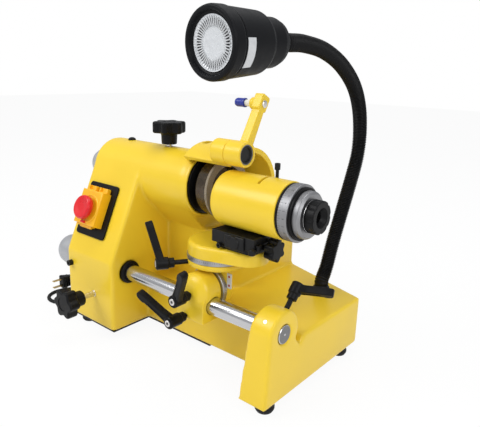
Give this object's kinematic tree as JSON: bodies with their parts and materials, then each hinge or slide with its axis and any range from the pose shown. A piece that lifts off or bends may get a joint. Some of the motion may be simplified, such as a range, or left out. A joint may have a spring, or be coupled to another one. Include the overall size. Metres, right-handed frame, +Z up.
{
  "type": "tool and drill bit grinder",
  "caption": "Bench grinder for drill bits and cutters: yellow cast body, cup wheel under a guard, work head on a swivel, tilt and guide bar, and a gooseneck lamp.",
  "frame": {"origin": "on the bench under the middle of the machine's box, measured without the mains lead", "axes": "+X along the guide bar from the feed knobs to the end pillar, +Y from the front to the back, +Z up"},
  "size_m": [0.5731, 0.4695, 0.4821],
  "materials": {
    "abrasive": "rough",
    "black_plastic": "satin",
    "black_rubber": "matte",
    "black_steel": "satin",
    "blue_plastic": "gloss",
    "bronze": "satin",
    "dark_paint": "matte",
    "green_plastic": "gloss",
    "ivory_plastic": "satin",
    "lamp_lens": "clear",
    "lid_yellow": "gloss",
    "polished_steel": "polished",
    "red_plastic": "gloss",
    "satin_aluminium": "satin",
    "yellow_enamel": "gloss"
  },
  "bodies": {
    "base": {"main_casting": "yellow_enamel", "bottom_cover": "black_steel", "foot_front_left": "black_rubber", "foot_front_right": "black_rubber", "foot_back_left": "black_rubber", "foot_back_right": "black_rubber", "bar_bush": "black_plastic", "wheel_guard": "yellow_enamel", "dresser_pin": "black_steel", "switch_base": "black_plastic", "lamp_socket": "black_plastic", "lamp_gooseneck": "black_plastic", "lamp_body": "black_plastic", "lamp_bezel": "black_plastic", "lamp_lens": "lamp_lens", "cord_gland": "black_rubber", "cord_lead": "black_rubber", "cord_coil": "black_rubber", "cord_tail": "black_rubber", "mains_plug": "black_plastic", "motor": "dark_paint", "drive_belt": "black_rubber"},
    "bar_feed_knob": {"bar_feed_knob": "satin_aluminium"},
    "feed_sleeve": {"bar_feed_sleeve": "bronze"},
    "guide_bar": {"guide_bar": "polished_steel"},
    "carriage": {"carriage_bracket": "yellow_enamel", "tilt_scale_ring": "satin_aluminium"},
    "carriage_lever": {"carriage_lever": "black_plastic"},
    "tilt_lever": {"tilt_lever": "black_plastic"},
    "tilt_yoke": {"tilt_yoke": "yellow_enamel", "swivel_scale_ring": "satin_aluminium"},
    "swivel_lever": {"swivel_lever": "black_plastic"},
    "swivel_plate": {"swivel_plate": "yellow_enamel", "slide_base": "black_steel"},
    "slide_feed_knob": {"slide_feed_knob": "black_plastic"},
    "work_head": {"cross_slide": "black_steel", "head_body": "yellow_enamel", "head_clamp_screw": "black_steel", "head_gasket": "black_plastic"},
    "index_spindle": {"index_ring": "satin_aluminium", "collet_spindle": "polished_steel", "draw_ring": "satin_aluminium"},
    "draw_knob": {"draw_knob": "black_plastic"},
    "quill": {"spindle_quill": "black_steel"},
    "quill_feed_knob": {"quill_feed_knob": "satin_aluminium"},
    "wheel_spindle": {"grinding_spindle": "polished_steel", "wheel_flange": "black_steel", "grinding_wheel": "abrasive", "wheel_nut": "polished_steel"},
    "motor_rotor": {"motor_rotor": "polished_steel"},
    "dresser": {"dresser_arm": "yellow_enamel", "dresser_ferrule": "ivory_plastic", "dresser_cap": "blue_plastic"},
    "bar_lock_lever": {"bar_lock_lever": "black_plastic"},
    "bar_lock_knob": {"bar_lock_knob": "black_plastic"},
    "quill_lock_knob": {"quill_lock_knob": "black_plastic"},
    "switch_lid": {"switch_lid": "lid_yellow"},
    "emergency_button": {"emergency_button": "red_plastic"},
    "start_button": {"start_button": "green_plastic"},
    "stop_button": {"stop_button": "red_plastic"}
  },
  "joints": [
    {"name": "bar_feed", "type": "slide", "parent": "base", "child": "feed_sleeve", "axis": [1, 0, 0], "range_m": [-0.008, 0.008]},
    {"name": "bar_feed_turn", "type": "hinge", "parent": "base", "child": "bar_feed_knob", "pos_m": [-0.202, -0.0939, 0.105], "axis": [1, 0, 0], "range_deg": [-1920, 1920]},
    {"name": "bar_swing", "type": "hinge", "parent": "feed_sleeve", "child": "guide_bar", "pos_m": [-0.202, -0.0939, 0.105], "axis": [1, 0, 0], "range_deg": [0, 25]},
    {"name": "carriage_slide", "type": "slide", "parent": "guide_bar", "child": "carriage", "axis": [-1, 0, 0], "range_m": [-0.06, 0.02]},
    {"name": "carriage_lever_turn", "type": "hinge", "parent": "carriage", "child": "carriage_lever", "pos_m": [0.0635, -0.1139, 0.0865], "axis": [0, -1, 0], "range_deg": [-25, 25]},
    {"name": "tilt_lever_turn", "type": "hinge", "parent": "carriage", "child": "tilt_lever", "pos_m": [0.0715, -0.114, 0.12], "axis": [0, -1, 0], "range_deg": [-25, 25]},
    {"name": "head_tilt", "type": "hinge", "parent": "carriage", "child": "tilt_yoke", "pos_m": [0.0715, -0.0712, 0.12], "axis": [0, 1, 0], "range_deg": [-4, 15]},
    {"name": "swivel_lever_turn", "type": "hinge", "parent": "tilt_yoke", "child": "swivel_lever", "pos_m": [0.044, -0.09776, 0.1565], "axis": [-0.5501, -0.8351, 0], "range_deg": [-25, 25]},
    {"name": "head_swivel", "type": "hinge", "parent": "tilt_yoke", "child": "swivel_plate", "pos_m": [0.0715, -0.056, 0.1685], "axis": [0, 0, 1], "range_deg": [-60, 4]},
    {"name": "cross_feed", "type": "slide", "parent": "swivel_plate", "child": "work_head", "axis": [1, 0, 0], "range_m": [-0.004, 0.02]},
    {"name": "cross_feed_turn", "type": "hinge", "parent": "work_head", "child": "slide_feed_knob", "pos_m": [0.158, -0.056, 0.1934], "axis": [1, 0, 0], "range_deg": [-720, 3600]},
    {"name": "index_turn", "type": "hinge", "parent": "work_head", "child": "index_spindle", "pos_m": [0.0855, -0.056, 0.2504], "axis": [1, 0, 0], "continuous": true},
    {"name": "draw_turn", "type": "hinge", "parent": "index_spindle", "child": "draw_knob", "pos_m": [0.1905, -0.056, 0.2504], "axis": [1, 0, 0], "continuous": true},
    {"name": "quill_feed", "type": "slide", "parent": "base", "child": "quill", "axis": [1, 0, 0], "range_m": [-0.003, 0.005]},
    {"name": "quill_feed_turn", "type": "hinge", "parent": "base", "child": "quill_feed_knob", "pos_m": [-0.202, -0.019, 0.25], "axis": [1, 0, 0], "range_deg": [-720, 1200]},
    {"name": "wheel_spin", "type": "hinge", "parent": "quill", "child": "wheel_spindle", "pos_m": [0.017, -0.019, 0.25], "axis": [1, 0, 0], "continuous": true},
    {"name": "motor_spin", "type": "hinge", "parent": "base", "child": "motor_rotor", "pos_m": [-0.13, 0.077, 0.09], "axis": [1, 0, 0], "continuous": true},
    {"name": "dresser_swing", "type": "hinge", "parent": "base", "child": "dresser", "pos_m": [0.0925, -0.059, 0.3122], "axis": [1, 0, 0], "range_deg": [-40, 110]},
    {"name": "bar_lock_lever_turn", "type": "hinge", "parent": "base", "child": "bar_lock_lever", "pos_m": [0.202, -0.07198, 0.12692], "axis": [0, 0.7071, 0.7071], "range_deg": [-25, 25]},
    {"name": "bar_lock_turn", "type": "hinge", "parent": "base", "child": "bar_lock_knob", "pos_m": [-0.1311, -0.128, 0.064], "axis": [0, -1, 0], "range_deg": [-180, 180]},
    {"name": "quill_lock_turn", "type": "hinge", "parent": "base", "child": "quill_lock_knob", "pos_m": [-0.069, -0.019, 0.2986], "axis": [0, 0, 1], "range_deg": [-180, 180]},
    {"name": "lid_hinge", "type": "hinge", "parent": "base", "child": "switch_lid", "pos_m": [-0.158, -0.08473, 0.23225], "axis": [-1, 0, 0], "range_deg": [0, 80]},
    {"name": "emergency_press", "type": "slide", "parent": "switch_lid", "child": "emergency_button", "axis": [0, 0.9142, -0.4052], "range_m": [0, 0.004], "stiffness_N_per_m": 600, "springref_m": -0.003},
    {"name": "start_press", "type": "slide", "parent": "base", "child": "start_button", "axis": [0, 0.9142, -0.4052], "range_m": [0, 0.0025], "stiffness_N_per_m": 300, "springref_m": -0.002},
    {"name": "stop_press", "type": "slide", "parent": "base", "child": "stop_button", "axis": [0, 0.9142, -0.4052], "range_m": [0, 0.0025], "stiffness_N_per_m": 300, "springref_m": -0.002}
  ],
  "couplings": [
    {"joint": "bar_feed_turn", "follows": "bar_feed", "rad_per_m": 4188.8},
    {"joint": "quill_feed_turn", "follows": "quill_feed", "rad_per_m": 4188.8},
    {"joint": "cross_feed_turn", "follows": "cross_feed", "rad_per_m": 3141.6},
    {"joint": "motor_spin", "follows": "wheel_spin", "ratio": 0.66667}
  ]
}
